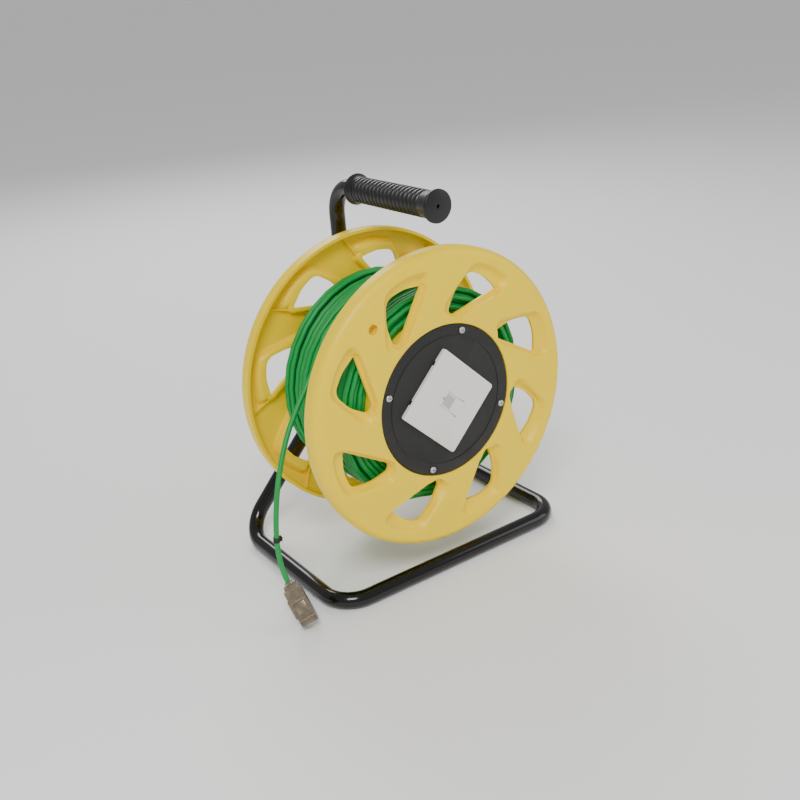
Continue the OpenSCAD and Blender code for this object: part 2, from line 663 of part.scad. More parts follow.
module tail_jack_clip() color([0.7, 0.68, 0.64]) tail_jack_frame()
    ring(4, cable_d / 2 + 0.1, -3.1, -0.1);

base_tube();
handle_tube();
handle_grip();
axle();
axle_saddle();
axle_thrust_washer();
axle_end_washer();
axle_circlip();
axle_rear_washer();
axle_nut();
front_flange();
rear_flange();
drum_barrel();
front_flange_screws();
rear_flange_screws();
bearing_disc();
bearing_disc_screws();
rear_bush();
front_bush();
carrier_disc();
carrier_screws();
outlet_support();
outlet_screws();
outlet_cover();
dust_flap();
flap_window();
flap_pin();
flap_spring();
outlet_jack();
outlet_jack_contacts();
outlet_jack_cap();
cable_grommet();
inner_lead();
wound_cable();
cable_tail();
cable_band();
tail_jack();
tail_jack_contacts();
tail_jack_cap();
tail_jack_clip();
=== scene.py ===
# Portable network cable reel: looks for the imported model.
import json
import math
import random

import bmesh
import bpy
import numpy as np
from mathutils import Matrix, Quaternion, Vector


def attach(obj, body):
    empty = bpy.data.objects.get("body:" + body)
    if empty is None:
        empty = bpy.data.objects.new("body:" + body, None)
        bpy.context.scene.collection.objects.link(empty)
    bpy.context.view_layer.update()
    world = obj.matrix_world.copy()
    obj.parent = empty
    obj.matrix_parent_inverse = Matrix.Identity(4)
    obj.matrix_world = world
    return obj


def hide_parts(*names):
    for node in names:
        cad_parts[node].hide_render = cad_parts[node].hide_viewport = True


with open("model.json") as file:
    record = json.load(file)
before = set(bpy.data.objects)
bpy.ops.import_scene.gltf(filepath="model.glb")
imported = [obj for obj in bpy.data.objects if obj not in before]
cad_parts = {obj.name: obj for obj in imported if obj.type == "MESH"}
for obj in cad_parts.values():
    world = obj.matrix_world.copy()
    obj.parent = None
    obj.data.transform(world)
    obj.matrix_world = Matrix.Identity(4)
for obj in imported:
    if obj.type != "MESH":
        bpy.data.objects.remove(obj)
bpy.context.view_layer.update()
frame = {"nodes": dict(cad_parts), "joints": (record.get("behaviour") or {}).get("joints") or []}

MM = 0.001
joints = {j["name"]: j for j in frame["joints"]}
nodes = frame["nodes"]
centre = Vector(joints["drum_spin"]["pos_m"])

# The spool's own frame, in millimetres: X right, Y up, Z towards the front
spool_frame = Matrix.Translation(centre) @ Matrix.Rotation(math.radians(90), 4, "X") @ Matrix.Scale(MM, 4)
rear_frame = spool_frame @ Matrix.Rotation(math.radians(180), 4, "Y")
stand_frame = Matrix.Scale(MM, 4)


# ---------- camera ----------

def make_camera():
    turn, rise, roll = math.radians(-33.6), math.radians(22.7), math.radians(-4.76)
    target = Vector((-0.0067, -0.0265, 0.1593))
    distance = 1.018
    back = Vector((math.sin(turn) * math.cos(rise), -math.cos(turn) * math.cos(rise), math.sin(rise)))
    across = Vector((0, 0, 1)).cross(back).normalized()
    up = back.cross(across)
    right = math.cos(roll) * across + math.sin(roll) * up
    top = -math.sin(roll) * across + math.cos(roll) * up
    data = bpy.data.cameras.new("camera")
    data.lens = 46.26
    data.sensor_width = 36
    camera = bpy.data.objects.new("camera", data)
    place = Matrix((right, top, back)).transposed().to_4x4()
    place.translation = target + back * distance
    camera.matrix_world = place
    bpy.context.scene.collection.objects.link(camera)
    bpy.context.scene.camera = camera


make_camera()


# ---------- colour and nodes ----------

def linear(hex_colour):
    """An sRGB hex colour as linear RGBA."""
    parts = [int(hex_colour[i:i + 2], 16) / 255 for i in (1, 3, 5)]
    return [p / 12.92 if p <= 0.04045 else ((p + 0.055) / 1.055) ** 2.4 for p in parts] + [1.0]


def add(tree, kind, inputs=None, **settings):
    """Adds a node with its settings, and its inputs as values or as sockets to link from."""
    node = tree.nodes.new(kind)
    for key, value in settings.items():
        setattr(node, key, value)
    for key, value in (inputs or {}).items():
        if isinstance(value, bpy.types.NodeSocket):
            tree.links.new(value, node.inputs[key])
        else:
            node.inputs[key].default_value = value
    return node


def blank(name, colour, roughness, **sockets):
    """A material with its shader's plain values set. Returns it with its tree, shader and coordinates."""
    material = bpy.data.materials.new(name)
    material.use_nodes = True
    tree = material.node_tree
    shader = tree.nodes["Principled BSDF"]
    shader.inputs["Base Color"].default_value = linear(colour)
    shader.inputs["Roughness"].default_value = roughness
    for key, value in sockets.items():
        shader.inputs[key.replace("_", " ")].default_value = value
    material.diffuse_color = linear(colour)
    coords = add(tree, "ShaderNodeTexCoord").outputs["Object"]
    return material, tree, shader, coords


def mottle(tree, shader, coords, size_mm, dark, light, rough_low, rough_high):
    """Slow drifts of colour and roughness, size_mm across."""
    cloud = add(tree, "ShaderNodeTexNoise", {"Vector": coords, "Scale": 1 / (size_mm * MM),
                                             "Detail": 5.0, "Roughness": 0.6})
    tint = add(tree, "ShaderNodeMix", {"Factor": cloud.outputs["Fac"], 6: linear(dark), 7: linear(light)},
               data_type="RGBA")
    tree.links.new(tint.outputs[2], shader.inputs["Base Color"])
    rough = add(tree, "ShaderNodeMapRange", {"Value": cloud.outputs["Fac"], "From Min": 0.3, "From Max": 0.7,
                                             "To Min": rough_low, "To Max": rough_high})
    tree.links.new(rough.outputs["Result"], shader.inputs["Roughness"])


def relief(tree, shader, height, depth_mm, strength=1.0, under=None):
    """Bump of a given depth, on top of another bump if there is one."""
    inputs = {"Height": height, "Distance": depth_mm * MM, "Strength": strength}
    if under:
        inputs["Normal"] = under.outputs["Normal"]
    bump = add(tree, "ShaderNodeBump", inputs)
    tree.links.new(bump.outputs["Normal"], shader.inputs["Normal"])
    return bump


# ---------- materials ----------

def yellow_plastic():
    # Injection-moulded polypropylene: an even, warm yellow with a soft gloss and faint flow marks
    material, tree, shader, coords = blank("moulded_polypropylene_yellow", "#FFD900", 0.36, IOR=1.49)
    shader.inputs["Specular IOR Level"].default_value = 0.3
    mottle(tree, shader, coords, 90, "#FCD300", "#FFDF00", 0.32, 0.40)
    flow = add(tree, "ShaderNodeTexNoise", {"Vector": coords, "Scale": 1 / (22 * MM), "Detail": 2.0})
    grain = add(tree, "ShaderNodeTexNoise", {"Vector": coords, "Scale": 1 / (1.3 * MM), "Detail": 2.0})
    under = relief(tree, shader, flow.outputs["Fac"], 0.35, 0.35)
    relief(tree, shader, grain.outputs["Fac"], 0.05, 0.35, under)
    return material


def green_sheath():
    # Extruded PVC sheath: smooth, satin, with faint waviness along its length
    material, tree, shader, coords = blank("extruded_pvc_green", "#0F9544", 0.42, IOR=1.5)
    shader.inputs["Specular IOR Level"].default_value = 0.35
    mottle(tree, shader, coords, 30, "#078A3A", "#18A04E", 0.36, 0.48)
    wave = add(tree, "ShaderNodeTexNoise", {"Vector": coords, "Scale": 1 / (3 * MM), "Detail": 2.0})
    relief(tree, shader, wave.outputs["Fac"], 0.08, 0.3)
    return material


def black_enamel():
    # Stove enamel on steel tube: a deep gloss with a little orange peel
    material, tree, shader, coords = blank("stove_enamel_black", "#050505", 0.12, IOR=1.5)
    mottle(tree, shader, coords, 40, "#030303", "#080808", 0.10, 0.18)
    peel = add(tree, "ShaderNodeTexNoise", {"Vector": coords, "Scale": 1 / (2.2 * MM), "Detail": 1.0})
    relief(tree, shader, peel.outputs["Fac"], 0.06, 0.35)
    return material


def grip_vinyl():
    # Dip-moulded soft PVC grip: black, satin, a little dusty
    material, tree, shader, coords = blank("soft_pvc_black", "#0A0A0A", 0.40, IOR=1.5)
    mottle(tree, shader, coords, 12, "#070707", "#101010", 0.34, 0.46)
    grain = add(tree, "ShaderNodeTexNoise", {"Vector": coords, "Scale": 1 / (0.8 * MM), "Detail": 2.0})
    relief(tree, shader, grain.outputs["Fac"], 0.04, 0.4)
    return material


def disc_plastic():
    # Spark-eroded moulded ABS: fine matt grain, and a band of fine radial lines near the edge
    material, tree, shader, coords = blank("grained_abs_black", "#121211", 0.52, IOR=1.5)
    mottle(tree, shader, coords, 25, "#0F0F0E", "#161615", 0.46, 0.60)
    grain = add(tree, "ShaderNodeTexNoise", {"Vector": coords, "Scale": 1 / (0.9 * MM), "Detail": 3.0})
    under = relief(tree, shader, grain.outputs["Fac"], 0.07, 0.5)
    place = add(tree, "ShaderNodeMapping", {"Vector": coords, "Location": tuple(-centre)})
    parts = add(tree, "ShaderNodeSeparateXYZ", {"Vector": place.outputs["Vector"]})
    x, z = parts.outputs["X"], parts.outputs["Z"]
    flat = add(tree, "ShaderNodeCombineXYZ", {"X": x, "Y": z})
    radius = add(tree, "ShaderNodeVectorMath", {0: flat.outputs["Vector"]}, operation="LENGTH")
    angle = add(tree, "ShaderNodeMath", {0: z, 1: x}, operation="ARCTAN2")
    # Fine radial lines round the band
    lines = add(tree, "ShaderNodeMath", {0: angle.outputs[0], 1: 150.0}, operation="MULTIPLY")
    wave = add(tree, "ShaderNodeMath", {0: lines.outputs[0]}, operation="SINE")
    inside = add(tree, "ShaderNodeMath", {0: radius.outputs["Value"], 1: 64.2 * MM}, operation="GREATER_THAN")
    outside = add(tree, "ShaderNodeMath", {0: radius.outputs["Value"], 1: 72.6 * MM}, operation="LESS_THAN")
    band = add(tree, "ShaderNodeMath", {0: inside.outputs[0], 1: outside.outputs[0]}, operation="MULTIPLY")
    height = add(tree, "ShaderNodeMath", {0: wave.outputs[0], 1: band.outputs[0]}, operation="MULTIPLY")
    relief(tree, shader, height.outputs[0], 0.12, 0.5, under)
    return material


def cover_plastic():
    # Moulded ABS in a warm white, with a soft even sheen
    material, tree, shader, coords = blank("moulded_abs_white", "#EEE8E1", 0.34, IOR=1.52)
    shader.inputs["Subsurface Weight"].default_value = 0.05
    shader.inputs["Subsurface Radius"].default_value = (0.002, 0.0016, 0.0012)
    mottle(tree, shader, coords, 30, "#EBE5DE", "#F2EDE7", 0.30, 0.38)
    grain = add(tree, "ShaderNodeTexNoise", {"Vector": coords, "Scale": 1 / (0.6 * MM), "Detail": 1.0})
    relief(tree, shader, grain.outputs["Fac"], 0.02, 0.3)
    return material


def cast_zinc():
    # Nickel-plated die-cast zinc: warm grey metal with a finely rippled cast skin
    material, tree, shader, coords = blank("plated_cast_zinc", "#B5A796", 0.30, Metallic=1.0)
    mottle(tree, shader, coords, 9, "#8D7F6D", "#A89A88", 0.24, 0.34)
    skin = add(tree, "ShaderNodeTexNoise", {"Vector": coords, "Scale": 1 / (1.1 * MM), "Detail": 3.0})
    relief(tree, shader, skin.outputs["Fac"], 0.03, 0.4)
    return material


def plated_steel():
    # Bright zinc-plated turned steel
    material, tree, shader, coords = blank("zinc_plated_steel", "#C8C9C7", 0.28, Metallic=1.0)
    mottle(tree, shader, coords, 3, "#B9BAB9", "#D4D4D1", 0.22, 0.36)
    turned = add(tree, "ShaderNodeTexNoise", {"Vector": coords, "Scale": 1 / (0.5 * MM), "Detail": 2.0})
    relief(tree, shader, turned.outputs["Fac"], 0.02, 0.4)
    return material


def gold_plate():
    # Thin gold plating on spring wire
    material, tree, shader, coords = blank("gold_plated_wire", "#E2B04A", 0.22, Metallic=1.0)
    mottle(tree, shader, coords, 2, "#D9A640", "#EBBC5A", 0.18, 0.30)
    return material


def bush_plastic():
    # Turned acetal: off-white and slightly waxy
    material, tree, shader, coords = blank("acetal_white", "#E3E0D6", 0.38, IOR=1.48)
    mottle(tree, shader, coords, 8, "#DDDACF", "#E9E7DF", 0.32, 0.44)
    return material


def band_rubber():
    # Moulded rubber: black and matt
    material, tree, shader, coords = blank("moulded_rubber_black", "#121212", 0.6)
    mottle(tree, shader, coords, 4, "#0D0D0D", "#1A1A1A", 0.52, 0.68)
    return material


def clear_plastic():
    # Clear polycarbonate over a white label
    material, tree, shader, coords = blank("clear_polycarbonate", "#F2F4F3", 0.08, IOR=1.58)
    shader.inputs["Transmission Weight"].default_value = 0.45
    mottle(tree, shader, coords, 6, "#E9ECEB", "#F6F8F7", 0.06, 0.14)
    return material


YELLOW = yellow_plastic()
GREEN = green_sheath()
ENAMEL = black_enamel()
VINYL = grip_vinyl()
DISC = disc_plastic()
WHITE = cover_plastic()
ZINC = cast_zinc()
STEEL = plated_steel()
GOLD = gold_plate()
BUSH = bush_plastic()
RUBBER = band_rubber()
CLEAR = clear_plastic()


# ---------- making pieces ----------

def finish_piece(name, bm, material, body, replaced=(), place=None, sharp_deg=38):
    """Puts a mesh, drawn in millimetres, in its place and makes it a piece that rides on a body."""
    if place is not None:
        bmesh.ops.transform(bm, matrix=place, verts=bm.verts)
    mesh = bpy.data.meshes.new(name)
    bm.to_mesh(mesh)
    bm.free()
    mesh.materials.append(material)
    mesh.shade_smooth()
    mesh.set_sharp_from_angle(angle=math.radians(sharp_deg))
    piece = bpy.data.objects.new(name, mesh)
    bpy.context.scene.collection.objects.link(piece)
    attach(piece, body)
    if replaced:
        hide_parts(*replaced)
    return piece


def soften(piece, width_mm, segments=2, angle_deg=38):
    """Rounds the piece's sharp edges."""
    bevel = piece.modifiers.new("edges", "BEVEL")
    bevel.width = width_mm * MM
    bevel.segments = segments
    bevel.limit_method = "ANGLE"
    bevel.angle_limit = math.radians(angle_deg)
    bevel.harden_normals = True
    return piece


def softened_copy(node, material, body, slot, width_mm, sharp_deg=38):
    """A merged copy of a CAD node with its edges rounded, which stands for it."""
    bm = bmesh.new()
    bm.from_mesh(nodes[node].data)
    bmesh.ops.remove_doubles(bm, verts=bm.verts, dist=1e-6)
    bmesh.ops.dissolve_limit(bm, angle_limit=math.radians(0.6), verts=bm.verts, edges=bm.edges)
    piece = finish_piece(node + "_shell", bm, material, body, [node], sharp_deg=sharp_deg)
    return soften(piece, width_mm, angle_deg=sharp_deg)


def paint(node, material):
    """Gives a CAD node its material."""
    slots = nodes[node].material_slots
    if not len(slots):
        nodes[node].data.materials.append(material)
    for s in nodes[node].material_slots:
        s.material = material


def spun(profile, steps=96):
    """A closed ring from a closed profile of (radius, height), turned about Z."""
    bm = bmesh.new()
    loop = [bm.verts.new((r, 0, z)) for r, z in profile]
    edges = [bm.edges.new((a, b)) for a, b in zip(loop, loop[1:] + loop[:1])]
    bmesh.ops.spin(bm, geom=loop + edges, cent=(0, 0, 0), axis=(0, 0, 1), angle=math.tau, steps=steps,
                   use_merge=True)
    bmesh.ops.remove_doubles(bm, verts=bm.verts, dist=1e-4)
    bmesh.ops.recalc_face_normals(bm, faces=bm.faces)
    return bm


def fold(corners, radius):
    """The centre line through corner points, with round bends."""
    line = [corners[0]]
    for before, at, after in zip(corners, corners[1:], corners[2:]):
        arrive, leave = (before - at).normalized(), (after - at).normalized()
        half = arrive.angle(leave) / 2
        middle = at + (arrive + leave).normalized() * radius / math.sin(half)
        start, end = at + arrive * radius / math.tan(half), at + leave * radius / math.tan(half)
        arm, axis = start - middle, (start - middle).cross(end - middle).normalized()
        swing = (start - middle).angle(end - middle)
        steps = max(6, round(math.degrees(swing) / 5))
        line += [middle + Quaternion(axis, swing * k / steps) @ arm for k in range(steps + 1)]
    return line + [corners[-1]]


def sweep(bm, line, radius, sides=32, open_wall=1.5):
    """A round tube along a line, with a turned-in mouth of wall thickness at each end."""
    tangents = [(b - a).normalized() for a, b in zip(line, line[1:])]
    tangents = [tangents[0]] + [(a + b).normalized() for a, b in zip(tangents, tangents[1:])] + [tangents[-1]]
    turn = Vector((0, 0, 1)).rotation_difference(tangents[0])
    place = Matrix.Translation(line[0]) @ turn.to_matrix().to_4x4()
    ring = bmesh.ops.create_circle(bm, cap_ends=False, segments=sides, radius=radius, matrix=place)["verts"]
    first = edges = list({e for v in ring for e in v.link_edges})
    for k in range(1, len(line)):
        new = bmesh.ops.extrude_edge_only(bm, edges=edges)["geom"]
        verts = [g for g in new if isinstance(g, bmesh.types.BMVert)]
        edges = [g for g in new if isinstance(g, bmesh.types.BMEdge)]
        swing = tangents[k - 1].rotation_difference(tangents[k]).to_matrix().to_4x4()
        move = Matrix.Translation(line[k]) @ swing @ Matrix.Translation(-line[k - 1])
        bmesh.ops.transform(bm, matrix=move, verts=verts)
    for rim, at, inward in ((first, line[0], tangents[0]), (edges, line[-1], -tangents[-1])):
        for scale, depth in (((radius - open_wall) / radius, 0), (1, 12)):
            new = bmesh.ops.extrude_edge_only(bm, edges=rim)["geom"]
            verts = [g for g in new if isinstance(g, bmesh.types.BMVert)]
            rim = [g for g in new if isinstance(g, bmesh.types.BMEdge)]
            for v in verts:
                v.co = at + (v.co - at) * scale + inward * depth
        bmesh.ops.contextual_create(bm, geom=rim)
    bmesh.ops.recalc_face_normals(bm, faces=bm.faces)


# ---------- cords ----------

CABLE_D = 5.0
DRUM_R = 80.0
WINDING_HALF = 52.0
TAIL_ROUTE = [(-81, -22, 246.2), (-95.5, -27, 225), (-111, -31.5, 207), (-125.5, -35.5, 191),
              (-139, -40, 174.5), (-150.5, -45.5, 157.5), (-160, -50.5, 139.5), (-168, -55.5, 120.5),
              (-173.5, -59.5, 102.5), (-177, -62.5, 84.5), (-178, -65, 66.5), (-177, -67.5, 52),
              (-175.7, -70, 44), (-175, -72, 40)]
# Low and high corner of each ridge and step on the socket module, along its own axes
JACK_STEPS = [((-8.4, 7.0, 15.2), (8.4, 8.6, 16.2)), ((-8.4, 7.0, 20.6), (8.4, 8.9, 21.4)),
              ((-8.5, 7.0, 16.0), (-5.4, 8.1, 20.8)), ((5.4, 7.0, 16.0), (8.5, 8.1, 20.8)),
              ((-6.4, 7.0, 26.8), (8.2, 8.9, 27.7)), ((-8.2, 7.0, 21.2), (-7.1, 8.2, 38.0)),
              ((7.1, 7.0, 21.2), (8.2, 8.2, 38.0)), ((-8.2, 7.0, 33.2), (8.2, 8.6, 34.2)),
              ((-5.9, 7.0, 34.0), (-5.0, 8.0, 37.9)), ((-2.3, 7.0, 34.0), (-1.4, 8.0, 37.9)),
              ((1.4, 7.0, 34.0), (2.3, 8.0, 37.9)), ((5.0, 7.0, 34.0), (5.9, 8.0, 37.9)),
              ((-8.2, 7.0, 37.7), (8.2, 8.1, 38.8)), ((-9.7, -5.0, 12.5), (-8.1, 5.0, 30.5))]


def through(points, steps):
    """A smooth line through points, with steps pieces between each two."""
    line = []
    for i in range(len(points) - 1):
        a, b = points[max(i - 1, 0)], points[i]
        c, d = points[i + 1], points[min(i + 2, len(points) - 1)]
        for k in range(steps):
            t = k / steps
            line.append(0.5 * (2 * b + (c - a) * t + (2 * a - 5 * b + 4 * c - d) * t * t
                               + (3 * b - a - 3 * c + d) * t ** 3))
    return line + [points[-1]]


def cable_curve(name, line, diameter, resolution):
    """A round cable along a line of points in metres."""
    data = bpy.data.curves.new(name, "CURVE")
    data.dimensions = "3D"
    data.bevel_depth = diameter / 2
    data.bevel_resolution = resolution
    data.use_fill_caps = True
    spline = data.splines.new("POLY")
    spline.points.add(len(line) - 1)
    for point, p in zip(spline.points, line):
        point.co = (*p, 1)
    spline.use_smooth = True
    data.materials.append(GREEN)
    piece = bpy.data.objects.new(name, data)
    bpy.context.scene.collection.objects.link(piece)
    return piece


def laid_turns():
    """The wound cable's centre line in the spool's frame: layers laid to and fro, the top ones loosely,
    then pushed apart until no strand lies in another."""
    draw = random.Random(7)
    samples = 32
    start = math.radians(196)
    side = 1
    z = 20.0
    radius = DRUM_R + CABLE_D / 2 + 0.2
    turns = []
    # One (side position, radius) for the start of each turn; the loose layers have uneven pitches
    for layer in range(5):
        loose = layer >= 3
        while -WINDING_HALF + 1 <= z <= WINDING_HALF - 1:
            turns.append((z, radius, layer))
            z += side * CABLE_D * (draw.uniform(1.0, 1.5) if loose else 1.01)
        side = -side
        z = max(-WINDING_HALF + 1, min(WINDING_HALF - 1, z))
        radius += CABLE_D * 0.88
    count = len(turns)
    s = np.arange(count * samples) / samples
    zs = np.interp(s, np.arange(count), [t[0] for t in turns])
    rs = np.interp(s, np.arange(count), [t[1] for t in turns])
    layers = np.interp(s, np.arange(count), [t[2] for t in turns])
    looseness = np.clip((layers - 2.4) / 1.6, 0, 1)
    for period, size in ((2.3, 2.2), (0.83, 1.6), (0.41, 0.8)):
        phase = draw.uniform(0, math.tau)
        drift = np.cumsum([draw.gauss(0, 0.05) for _ in s])
        zs = zs + looseness * size * np.sin(s / period * math.tau + phase + drift)
    theta = start + s * math.tau
    # Strands hang a little under the drum, and a few cross over their neighbours
    rs = rs + looseness * 1.6 * np.clip(-np.sin(theta), 0, 1)
    for _ in range(9):
        at = draw.uniform(count * 0.80, count - 1.5)
        wide = draw.uniform(0.16, 0.34)
        size = draw.choice((-1, 1)) * draw.uniform(7, 15)
        hump = np.exp(-((s - at) / wide) ** 2)
        zs = zs + size * hump
        rs = rs + 4.0 * np.exp(-((s - at) / (wide * 1.2)) ** 4)
    zs = np.clip(zs, -WINDING_HALF, WINDING_HALF)
    lowest = DRUM_R + CABLE_D / 2 + 0.2
    for _ in range(60):
        zg, rg = zs.reshape(count, samples), rs.reshape(count, samples)
        dz = zg[:, None, :] - zg[None, :, :]
        dr = rg[:, None, :] - rg[None, :, :]
        apart = np.sqrt(dz * dz + dr * dr) + 1e-6
        over = np.clip(CABLE_D * 1.0 - apart, 0, None)
        over[np.arange(count), np.arange(count), :] = 0
        lift = np.where(dr > 0, 0.75, 0.25)
        zg = zg + (over * dz / apart * 0.5).sum(1) * 0.5
        rg = rg + (over * dr / apart * lift).sum(1) * 0.5
        zs, rs = zg.ravel(), rg.ravel()
        zs[1:-1] = 0.5 * zs[1:-1] + 0.25 * (zs[:-2] + zs[2:])
        rs[1:-1] = 0.5 * rs[1:-1] + 0.25 * (rs[:-2] + rs[2:])
        zs = np.clip(zs, -WINDING_HALF, WINDING_HALF)
        rs = np.clip(rs, lowest, 104.5)
    line = [Vector((r * math.cos(a), r * math.sin(a), z)) for r, a, z in zip(rs, theta, zs)]
    return line, theta


def wound_cable():
    line, theta = laid_turns()
    tail_start = spool_frame.inverted() @ (Vector(TAIL_ROUTE[0]) * MM)
    # The last turn leads round to the point where the tail leaves on a tangent
    reach = 103.0
    leave = math.radians(127)
    last_z = line[-1].z
    angle = theta[-1]
    goal = angle + (leave - angle) % math.tau
    steps = max(10, round((goal - angle) / math.tau * 32))
    last_r = Vector((line[-1].x, line[-1].y)).length
    for k in range(1, steps + 1):
        t = k / steps
        ease = t * t * (3 - 2 * t)
        r = last_r + (reach + 2 - last_r) * ease
        a = angle + (goal - angle) * t
        line.append(Vector((r * math.cos(a), r * math.sin(a), last_z + (tail_start.z - last_z) * ease)))
    gap = tail_start - line[-1]
    line += [line[-1] + gap * k / 4 for k in range(1, 5)]
    line = [spool_frame @ p for p in line]
    piece = cable_curve("wound_turns", line, CABLE_D * MM, 3)
    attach(piece, "spool")
    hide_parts("wound_cable")


def detailed_jack():
    """The CAD socket module with the ridges and steps of its cast face added."""
    frame_at = stand_frame @ Matrix.Translation(TAIL_ROUTE[-1])
    for axis, degrees in (("Y", -11), ("X", -31), ("Z", -20), ("X", 180)):
        frame_at = frame_at @ Matrix.Rotation(math.radians(degrees), 4, axis)
    bm = bmesh.new()
    bm.from_mesh(nodes["tail_jack"].data)
    bmesh.ops.remove_doubles(bm, verts=bm.verts, dist=1e-6)
    bmesh.ops.dissolve_limit(bm, angle_limit=math.radians(0.6), verts=bm.verts, edges=bm.edges)
    for low, high in JACK_STEPS:
        size, middle = Vector(high) - Vector(low), (Vector(high) + Vector(low)) / 2
        at = frame_at @ Matrix.Translation(middle) @ Matrix.Diagonal((*size, 1))
        bmesh.ops.create_cube(bm, size=1, matrix=at)
    piece = finish_piece("socket_module_shell", bm, ZINC, "stand", ["tail_jack"])
    return soften(piece, 0.25, 2)


def tail():
    line = [p * MM for p in through([Vector(p) for p in TAIL_ROUTE], 4)]
    piece = cable_curve("tail_sheath", line, CABLE_D * MM, 6)
    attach(piece, "stand")
    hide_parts("cable_tail")
    on_it = [nodes[n] for n in ("cable_band", "tail_jack_contacts", "tail_jack_cap", "tail_jack_clip")]
    on_it.append(detailed_jack())


wound_cable()
tail()


# ---------- flanges ----------

CROWN_Z = 70.0
POCKET_Z = 63.0
SHELL = 3.0
WINDOW = [(115.8, -1, 1.5), (119.6, 18, 35), (116.6, 38, 11), (94, 43.2, 40), (74, 40.6, 5.5), (73, 33.2, 4)]
POCKET = [(126.7, -8.9, 5), (129.5, 18.1, 60), (123.6, 40.2, 12), (68.7, 51.8, 6), (80.3, 24.6, 10)]
FLANGE_INNER, FLANGE_OUTER = 75.6, 136.6
SECTOR = 45.0
POCKET_MIDDLE = Vector((101, 26))


def rounded_outline(corners, grow=0.0):
    """Points of an outline that turns left, with its corners rounded, moved outwards by grow."""
    flat = [Vector(c[:2]) for c in corners]
    count = len(corners)
    moved = []
    for i in range(count):
        u = (flat[i] - flat[i - 1]).normalized()
        v = (flat[(i + 1) % count] - flat[i]).normalized()
        out_u, out_v = Vector((u.y, -u.x)), Vector((v.y, -v.x))
        middle = (out_u + out_v).normalized()
        moved.append(flat[i] + middle * grow / middle.dot(out_u))
    points = []
    for i in range(count):
        before = (moved[i - 1] - moved[i]).normalized()
        after = (moved[(i + 1) % count] - moved[i]).normalized()
        half = before.angle(after) / 2
        radius = max(0.3, corners[i][2] + grow)
        middle = moved[i] + (before + after).normalized() * radius / math.sin(half)
        start = moved[i] + before * radius / math.tan(half) - middle
        swing = math.pi - 2 * half
        points += [middle + Matrix.Rotation(swing * k / 12, 2) @ start for k in range(13)]
    return points


def along_rays(outline, origin, targets):
    """The share of the way from origin to each target at which an outline is crossed."""
    found = []
    for target in targets:
        ray = target - origin
        shares = []
        for a, b in zip(outline, outline[1:] + outline[:1]):
            edge = b - a
            cross = ray.x * edge.y - ray.y * edge.x
            if abs(cross) < 1e-9:
                continue
            t = ((a.x - origin.x) * edge.y - (a.y - origin.y) * edge.x) / cross
            u = ((a.x - origin.x) * ray.y - (a.y - origin.y) * ray.x) / cross
            if t > 0 and -1e-6 <= u <= 1 + 1e-6:
                shares.append(t)
        found.append(min(shares))
    return found


def spoke_angle(radius):
    """The direction of the middle of a spoke, which leans back as it goes out."""
    return 4.5 - 0.4545 * (min(radius, 137) - 84)


def sector_edge():
    """Points round one eighth of the flange, between the middles of two spokes."""
    polar = lambda r, a: Vector((r * math.cos(math.radians(a)), r * math.sin(math.radians(a))))
    radii = [FLANGE_INNER + (FLANGE_OUTER - FLANGE_INNER) * k / 16 for k in range(17)]
    outer = [spoke_angle(FLANGE_OUTER) + SECTOR * k / 26 for k in range(1, 26)]
    inner = [spoke_angle(FLANGE_INNER) + SECTOR * k / 16 for k in range(15, 0, -1)]
    return ([polar(r, spoke_angle(r)) for r in radii] + [polar(FLANGE_OUTER, a) for a in outer]
            + [polar(r, spoke_angle(r) + SECTOR) for r in reversed(radii)]
            + [polar(FLANGE_INNER, a) for a in inner])


def flange_sector(bm):
    """The outer skin of one sector, from the spokes' middles down into the pocket to the window."""
    edge = sector_edge()
    verts = [bm.verts.new((p.x, p.y, CROWN_Z)) for p in edge]
    edges = [bm.edges.new((a, b)) for a, b in zip(verts, verts[1:] + verts[:1])]
    depth = CROWN_Z - POCKET_Z
    rings = [(POCKET, 5.0, 0.0), (POCKET, 4.2, 0.0)]
    rings += [(POCKET, 3.6 - 8.0 * t, depth * t * t * (3 - 2 * t))
              for t in (0.0, 0.12, 0.24, 0.37, 0.5, 0.63, 0.76, 0.88, 1.0)]
    rings += [(WINDOW, 2.2, depth), (WINDOW, 0.7, depth), (WINDOW, 0.0, depth)]
    last = len(rings) - 3
    for turn, (outline, grow, drop) in enumerate(rings):
        new = bmesh.ops.extrude_edge_only(bm, edges=edges)["geom"]
        edges = [g for g in new if isinstance(g, bmesh.types.BMEdge)]
        fresh = {g for g in new if isinstance(g, bmesh.types.BMVert)}
        shares = along_rays(rounded_outline(outline, grow), POCKET_MIDDLE, edge)
        if turn < last:
            # The pocket's wall keeps clear of the window, and of the middle of the spoke
            clear = along_rays(rounded_outline(WINDOW, 2.5 + 0.12 * (last - turn)), POCKET_MIDDLE, edge)
            shares = [min(max(s, c), 1 - 0.012 * (turn + 1)) for s, c in zip(shares, clear)]
        # Each new vertex stands over the one that it was drawn from
        verts = [next(e.other_vert(v) for e in v.link_edges if e.other_vert(v) in fresh) for v in verts]
        for v, p, share in zip(verts, edge, shares):
            v.co = (*(POCKET_MIDDLE + (p - POCKET_MIDDLE) * share), CROWN_Z - drop)


